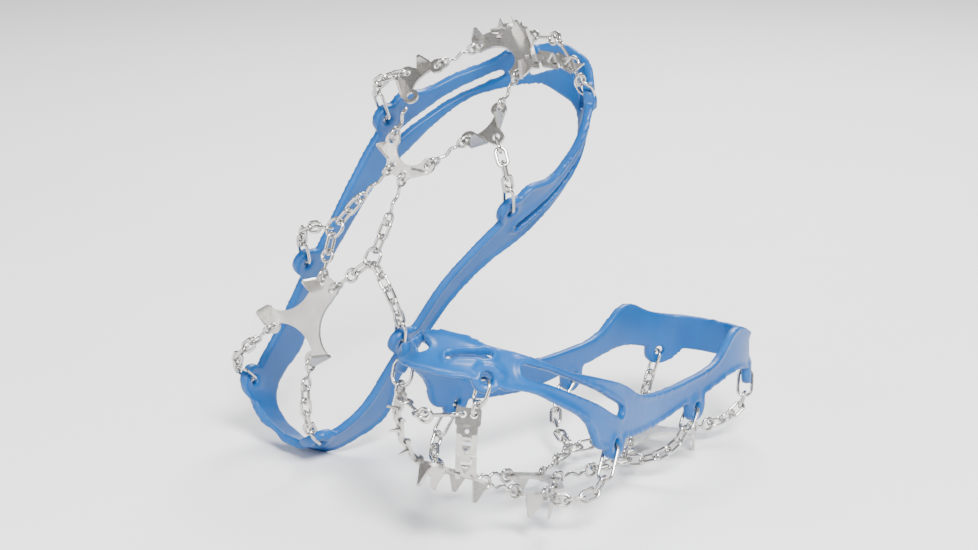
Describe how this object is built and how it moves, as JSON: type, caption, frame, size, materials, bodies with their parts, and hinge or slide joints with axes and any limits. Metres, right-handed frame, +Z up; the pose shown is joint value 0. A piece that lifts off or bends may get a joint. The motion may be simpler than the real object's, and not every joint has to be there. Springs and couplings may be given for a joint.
{
  "type": "shoe ice cleats",
  "caption": "Pair of slip-on ice cleats: rubber harness with eyelets, steel chains, bails and wires, and spiked sheet plates under the sole, one upright and one leaning.",
  "frame": {"origin": "centre of the pair's bounding box, on the ground", "axes": "+X toward the toe of the upright cleat, +Y to its wearer's left, +Z up"},
  "size_m": [0.2888, 0.263, 0.255],
  "materials": {
    "blue_rubber": "satin moulded elastomer",
    "stainless_sheet": "brushed stamped sheet",
    "nickel_wire": "bright drawn wire"
  },
  "bodies": {
    "root": {"leaning_front_plate": "stainless_sheet", "leaning_harness": "blue_rubber", "leaning_heel_bails": "nickel_wire", "leaning_heel_chains": "nickel_wire", "leaning_heel_plate": "stainless_sheet", "leaning_heel_wires": "nickel_wire", "leaning_left_plate": "stainless_sheet", "leaning_rear_plate": "stainless_sheet", "leaning_rear_wires": "nickel_wire", "leaning_right_plate": "stainless_sheet", "leaning_ring_wires": "nickel_wire", "leaning_toe_cross_links": "nickel_wire", "upright_front_plate": "stainless_sheet", "upright_harness": "blue_rubber", "upright_heel_bails": "nickel_wire", "upright_heel_chains": "nickel_wire", "upright_heel_plate": "stainless_sheet", "upright_heel_wires": "nickel_wire", "upright_left_plate": "stainless_sheet", "upright_rear_plate": "stainless_sheet", "upright_rear_wires": "nickel_wire", "upright_right_plate": "stainless_sheet", "upright_ring_wires": "nickel_wire", "upright_toe_cross_links": "nickel_wire"},
    "upright_toe_plate_low_left": {"upright_toe_plate_low_left": "stainless_sheet"},
    "upright_toe_plate_mid_left": {"upright_toe_plate_mid_left": "stainless_sheet"},
    "upright_toe_plate_top_left": {"upright_toe_plate_top_left": "stainless_sheet"},
    "upright_toe_bail_left": {"upright_toe_bail_left": "nickel_wire"},
    "upright_toe_ring_left": {"upright_toe_ring_left": "nickel_wire"},
    "upright_fore_bail_left": {"upright_fore_bail_left": "nickel_wire"},
    "upright_fore_chain_left": {"upright_fore_chain_left": "nickel_wire"},
    "upright_mid_bail_left": {"upright_mid_bail_left": "nickel_wire"},
    "upright_mid_chain_left": {"upright_mid_chain_left": "nickel_wire"},
    "upright_toe_plate_low_right": {"upright_toe_plate_low_right": "stainless_sheet"},
    "upright_toe_plate_mid_right": {"upright_toe_plate_mid_right": "stainless_sheet"},
    "upright_toe_plate_top_right": {"upright_toe_plate_top_right": "stainless_sheet"},
    "upright_toe_bail_right": {"upright_toe_bail_right": "nickel_wire"},
    "upright_toe_ring_right": {"upright_toe_ring_right": "nickel_wire"},
    "upright_fore_bail_right": {"upright_fore_bail_right": "nickel_wire"},
    "upright_fore_chain_right": {"upright_fore_chain_right": "nickel_wire"},
    "upright_mid_bail_right": {"upright_mid_bail_right": "nickel_wire"},
    "upright_mid_chain_right": {"upright_mid_chain_right": "nickel_wire"},
    "leaning_toe_plate_low_left": {"leaning_toe_plate_low_left": "stainless_sheet"},
    "leaning_toe_plate_mid_left": {"leaning_toe_plate_mid_left": "stainless_sheet"},
    "leaning_toe_plate_top_left": {"leaning_toe_plate_top_left": "stainless_sheet"},
    "leaning_toe_bail_left": {"leaning_toe_bail_left": "nickel_wire"},
    "leaning_toe_ring_left": {"leaning_toe_ring_left": "nickel_wire"},
    "leaning_fore_bail_left": {"leaning_fore_bail_left": "nickel_wire"},
    "leaning_fore_chain_left": {"leaning_fore_chain_left": "nickel_wire"},
    "leaning_mid_bail_left": {"leaning_mid_bail_left": "nickel_wire"},
    "leaning_mid_chain_left": {"leaning_mid_chain_left": "nickel_wire"},
    "leaning_toe_plate_low_right": {"leaning_toe_plate_low_right": "stainless_sheet"},
    "leaning_toe_plate_mid_right": {"leaning_toe_plate_mid_right": "stainless_sheet"},
    "leaning_toe_plate_top_right": {"leaning_toe_plate_top_right": "stainless_sheet"},
    "leaning_toe_bail_right": {"leaning_toe_bail_right": "nickel_wire"},
    "leaning_toe_ring_right": {"leaning_toe_ring_right": "nickel_wire"},
    "leaning_fore_bail_right": {"leaning_fore_bail_right": "nickel_wire"},
    "leaning_fore_chain_right": {"leaning_fore_chain_right": "nickel_wire"},
    "leaning_mid_bail_right": {"leaning_mid_bail_right": "nickel_wire"},
    "leaning_mid_chain_right": {"leaning_mid_chain_right": "nickel_wire"}
  },
  "joints": [
    {"name": "upright_toe_plate_low_left_hinge", "type": "hinge", "parent": "root", "child": "upright_toe_plate_low_left", "pos_m": [0.12491, 0.08615, 0.04767], "axis": [-0.5403, 0.8385, -0.07], "range_deg": [-2, 2]},
    {"name": "upright_toe_plate_mid_left_hinge", "type": "hinge", "parent": "upright_toe_plate_low_left", "child": "upright_toe_plate_mid_left", "pos_m": [0.12992, 0.09045, 0.05827], "axis": [-0.5403, 0.8385, -0.07], "range_deg": [-6.42, 6.42]},
    {"name": "upright_toe_plate_top_left_hinge", "type": "hinge", "parent": "upright_toe_plate_mid_left", "child": "upright_toe_plate_top_left", "pos_m": [0.13162, 0.09245, 0.07027], "axis": [-0.5403, 0.8385, -0.07], "range_deg": [-6.9, 6.9]},
    {"name": "upright_toe_bail_left_swing", "type": "hinge", "parent": "root", "child": "upright_toe_bail_left", "pos_m": [0.12151, 0.09685, 0.09967], "axis": [0.3106, 0.9503, 0.0206], "range_deg": [-2.5, 2.5]},
    {"name": "upright_toe_ring_left_swing", "type": "hinge", "parent": "upright_toe_bail_left", "child": "upright_toe_ring_left", "pos_m": [0.1264, 0.09553, 0.08738], "axis": [0.3106, 0.9503, 0.0206], "range_deg": [-7.99, 7.99]},
    {"name": "upright_fore_bail_left_swing", "type": "hinge", "parent": "root", "child": "upright_fore_bail_left", "pos_m": [0.04602, 0.12386, 0.04867], "axis": [0.0606, -0.8166, 0.574], "range_deg": [-3, 3]},
    {"name": "upright_fore_chain_left_swing", "type": "hinge", "parent": "upright_fore_bail_left", "child": "upright_fore_chain_left", "pos_m": [0.05751, 0.12685, 0.03267], "axis": [0.0606, -0.8166, 0.574], "range_deg": [-5.1, 5.1]},
    {"name": "upright_mid_bail_left_swing", "type": "hinge", "parent": "root", "child": "upright_mid_bail_left", "pos_m": [-0.05149, 0.11306, 0.04067], "axis": [-0.2721, -0.8797, 0.3901], "range_deg": [-3, 3]},
    {"name": "upright_mid_chain_left_swing", "type": "hinge", "parent": "upright_mid_bail_left", "child": "upright_mid_chain_left", "pos_m": [-0.04129, 0.11466, 0.03017], "axis": [-0.2721, -0.8797, 0.3901], "range_deg": [-4.3, 4.3]},
    {"name": "upright_toe_plate_low_right_hinge", "type": "hinge", "parent": "root", "child": "upright_toe_plate_low_right", "pos_m": [0.12491, 0.05355, 0.04767], "axis": [-0.5403, -0.8385, -0.07], "range_deg": [-2, 2]},
    {"name": "upright_toe_plate_mid_right_hinge", "type": "hinge", "parent": "upright_toe_plate_low_right", "child": "upright_toe_plate_mid_right", "pos_m": [0.12992, 0.04926, 0.05827], "axis": [-0.5403, -0.8385, -0.07], "range_deg": [-6.42, 6.42]},
    {"name": "upright_toe_plate_top_right_hinge", "type": "hinge", "parent": "upright_toe_plate_mid_right", "child": "upright_toe_plate_top_right", "pos_m": [0.13162, 0.04725, 0.07027], "axis": [-0.5403, -0.8385, -0.07], "range_deg": [-6.9, 6.9]},
    {"name": "upright_toe_bail_right_swing", "type": "hinge", "parent": "root", "child": "upright_toe_bail_right", "pos_m": [0.12151, 0.04285, 0.09967], "axis": [0.3106, -0.9503, 0.0206], "range_deg": [-2.5, 2.5]},
    {"name": "upright_toe_ring_right_swing", "type": "hinge", "parent": "upright_toe_bail_right", "child": "upright_toe_ring_right", "pos_m": [0.1264, 0.04418, 0.08738], "axis": [0.3106, -0.9503, 0.0206], "range_deg": [-7.99, 7.99]},
    {"name": "upright_fore_bail_right_swing", "type": "hinge", "parent": "root", "child": "upright_fore_bail_right", "pos_m": [0.04602, 0.01586, 0.04867], "axis": [0.0606, 0.8166, 0.574], "range_deg": [-3, 3]},
    {"name": "upright_fore_chain_right_swing", "type": "hinge", "parent": "upright_fore_bail_right", "child": "upright_fore_chain_right", "pos_m": [0.05751, 0.01286, 0.03267], "axis": [0.0606, 0.8166, 0.574], "range_deg": [-5.1, 5.1]},
    {"name": "upright_mid_bail_right_swing", "type": "hinge", "parent": "root", "child": "upright_mid_bail_right", "pos_m": [-0.05149, 0.02666, 0.04067], "axis": [-0.2721, 0.8797, 0.3901], "range_deg": [-3, 3]},
    {"name": "upright_mid_chain_right_swing", "type": "hinge", "parent": "upright_mid_bail_right", "child": "upright_mid_chain_right", "pos_m": [-0.04129, 0.02506, 0.03017], "axis": [-0.2721, 0.8797, 0.3901], "range_deg": [-4.3, 4.3]},
    {"name": "leaning_toe_plate_low_left_hinge", "type": "hinge", "parent": "root", "child": "leaning_toe_plate_low_left", "pos_m": [-0.03546, 0.01051, 0.23292], "axis": [0.349, 0.5847, -0.7323], "range_deg": [-2, 2]},
    {"name": "leaning_toe_plate_mid_left_hinge", "type": "hinge", "parent": "leaning_toe_plate_low_left", "child": "leaning_toe_plate_mid_left", "pos_m": [-0.04672, 0.01571, 0.23148], "axis": [0.349, 0.5847, -0.7323], "range_deg": [-6.42, 6.42]},
    {"name": "leaning_toe_plate_top_left_hinge", "type": "hinge", "parent": "leaning_toe_plate_mid_left", "child": "leaning_toe_plate_top_left", "pos_m": [-0.05822, 0.01748, 0.22753], "axis": [0.349, 0.5847, -0.7323], "range_deg": [-6.9, 6.9]},
    {"name": "leaning_toe_bail_left_swing", "type": "hinge", "parent": "root", "child": "leaning_toe_bail_left", "pos_m": [-0.08096, 0.01613, 0.20594], "axis": [-0.0498, 0.995, -0.0863], "range_deg": [-2.5, 2.5]},
    {"name": "leaning_toe_ring_left_swing", "type": "hinge", "parent": "leaning_toe_bail_left", "child": "leaning_toe_ring_left", "pos_m": [-0.07166, 0.01741, 0.21534], "axis": [-0.0498, 0.995, -0.0863], "range_deg": [-7.99, 7.99]},
    {"name": "leaning_fore_bail_left_swing", "type": "hinge", "parent": "root", "child": "leaning_fore_bail_left", "pos_m": [-0.00268, 0.01655, 0.15207], "axis": [-0.6265, -0.77, 0.1214], "range_deg": [-3, 3]},
    {"name": "leaning_fore_chain_left_swing", "type": "hinge", "parent": "leaning_fore_bail_left", "child": "leaning_fore_chain_left", "pos_m": [0.0079, 0.02449, 0.16698], "axis": [-0.6265, -0.77, 0.1214], "range_deg": [-5.1, 5.1]},
    {"name": "leaning_mid_bail_left_swing", "type": "hinge", "parent": "root", "child": "leaning_mid_bail_left", "pos_m": [0.04101, -0.02874, 0.07639], "axis": [-0.3358, -0.9396, -0.0665], "range_deg": [-3, 3]},
    {"name": "leaning_mid_chain_left_swing", "type": "hinge", "parent": "leaning_mid_bail_left", "child": "leaning_mid_chain_left", "pos_m": [0.0469, -0.0229, 0.08855], "axis": [-0.3358, -0.9396, -0.0665], "range_deg": [-4.3, 4.3]},
    {"name": "leaning_toe_plate_low_right_hinge", "type": "hinge", "parent": "root", "child": "leaning_toe_plate_low_right", "pos_m": [-0.03848, -0.01976, 0.24464], "axis": [0.1936, -0.9725, -0.1295], "range_deg": [-2, 2]},
    {"name": "leaning_toe_plate_mid_right_hinge", "type": "hinge", "parent": "leaning_toe_plate_low_right", "child": "leaning_toe_plate_mid_right", "pos_m": [-0.05054, -0.02254, 0.24629], "axis": [0.1936, -0.9725, -0.1295], "range_deg": [-6.42, 6.42]},
    {"name": "leaning_toe_plate_top_right_hinge", "type": "hinge", "parent": "leaning_toe_plate_mid_right", "child": "leaning_toe_plate_top_right", "pos_m": [-0.0624, -0.02449, 0.24378], "axis": [0.1936, -0.9725, -0.1295], "range_deg": [-6.9, 6.9]},
    {"name": "leaning_toe_bail_right_swing", "type": "hinge", "parent": "root", "child": "leaning_toe_bail_right", "pos_m": [-0.08597, -0.03401, 0.22535], "axis": [-0.2259, -0.7698, 0.5969], "range_deg": [-2.5, 2.5]},
    {"name": "leaning_toe_ring_right_swing", "type": "hinge", "parent": "leaning_toe_bail_right", "child": "leaning_toe_ring_right", "pos_m": [-0.07642, -0.03026, 0.2338], "axis": [-0.2259, -0.7698, 0.5969], "range_deg": [-7.99, 7.99]},
    {"name": "leaning_fore_bail_right_swing", "type": "hinge", "parent": "root", "child": "leaning_fore_bail_right", "pos_m": [-0.01268, -0.08374, 0.19089], "axis": [-0.4752, 0.7466, -0.4657], "range_deg": [-3, 3]},
    {"name": "leaning_fore_chain_right_swing", "type": "hinge", "parent": "leaning_fore_bail_right", "child": "leaning_fore_chain_right", "pos_m": [-0.00266, -0.08137, 0.20796], "axis": [-0.4752, 0.7466, -0.4657], "range_deg": [-5.1, 5.1]},
    {"name": "leaning_mid_bail_right_swing", "type": "hinge", "parent": "root", "child": "leaning_mid_bail_right", "pos_m": [0.033, -0.10897, 0.10745], "axis": [-0.1729, 0.694, -0.6989], "range_deg": [-3, 3]},
    {"name": "leaning_mid_chain_right_swing", "type": "hinge", "parent": "leaning_mid_bail_right", "child": "leaning_mid_chain_right", "pos_m": [0.0386, -0.1061, 0.12076], "axis": [-0.1729, 0.694, -0.6989], "range_deg": [-4.3, 4.3]}
  ],
  "couplings": [
    {"joint": "upright_toe_plate_mid_left_hinge", "follows": "upright_toe_plate_low_left_hinge", "ratio": -3.0613},
    {"joint": "upright_toe_plate_top_left_hinge", "follows": "upright_toe_plate_low_left_hinge", "ratio": 3.2999},
    {"joint": "upright_toe_ring_left_swing", "follows": "upright_toe_bail_left_swing", "ratio": -3.076},
    {"joint": "upright_fore_chain_left_swing", "follows": "upright_fore_bail_left_swing", "ratio": -1.601},
    {"joint": "upright_mid_chain_left_swing", "follows": "upright_mid_bail_left_swing", "ratio": -1.3346},
    {"joint": "upright_toe_plate_mid_right_hinge", "follows": "upright_toe_plate_low_right_hinge", "ratio": -3.0613},
    {"joint": "upright_toe_plate_top_right_hinge", "follows": "upright_toe_plate_low_right_hinge", "ratio": 3.2999},
    {"joint": "upright_toe_ring_right_swing", "follows": "upright_toe_bail_right_swing", "ratio": -3.076},
    {"joint": "upright_fore_chain_right_swing", "follows": "upright_fore_bail_right_swing", "ratio": -1.601},
    {"joint": "upright_mid_chain_right_swing", "follows": "upright_mid_bail_right_swing", "ratio": -1.3346},
    {"joint": "leaning_toe_plate_mid_left_hinge", "follows": "leaning_toe_plate_low_left_hinge", "ratio": -3.0613},
    {"joint": "leaning_toe_plate_top_left_hinge", "follows": "leaning_toe_plate_low_left_hinge", "ratio": 3.2999},
    {"joint": "leaning_toe_ring_left_swing", "follows": "leaning_toe_bail_left_swing", "ratio": -3.076},
    {"joint": "leaning_fore_chain_left_swing", "follows": "leaning_fore_bail_left_swing", "ratio": -1.601},
    {"joint": "leaning_mid_chain_left_swing", "follows": "leaning_mid_bail_left_swing", "ratio": -1.3346},
    {"joint": "leaning_toe_plate_mid_right_hinge", "follows": "leaning_toe_plate_low_right_hinge", "ratio": -3.0613},
    {"joint": "leaning_toe_plate_top_right_hinge", "follows": "leaning_toe_plate_low_right_hinge", "ratio": 3.2999},
    {"joint": "leaning_toe_ring_right_swing", "follows": "leaning_toe_bail_right_swing", "ratio": -3.076},
    {"joint": "leaning_fore_chain_right_swing", "follows": "leaning_fore_bail_right_swing", "ratio": -1.601},
    {"joint": "leaning_mid_chain_right_swing", "follows": "leaning_mid_bail_right_swing", "ratio": -1.3346}
  ]
}
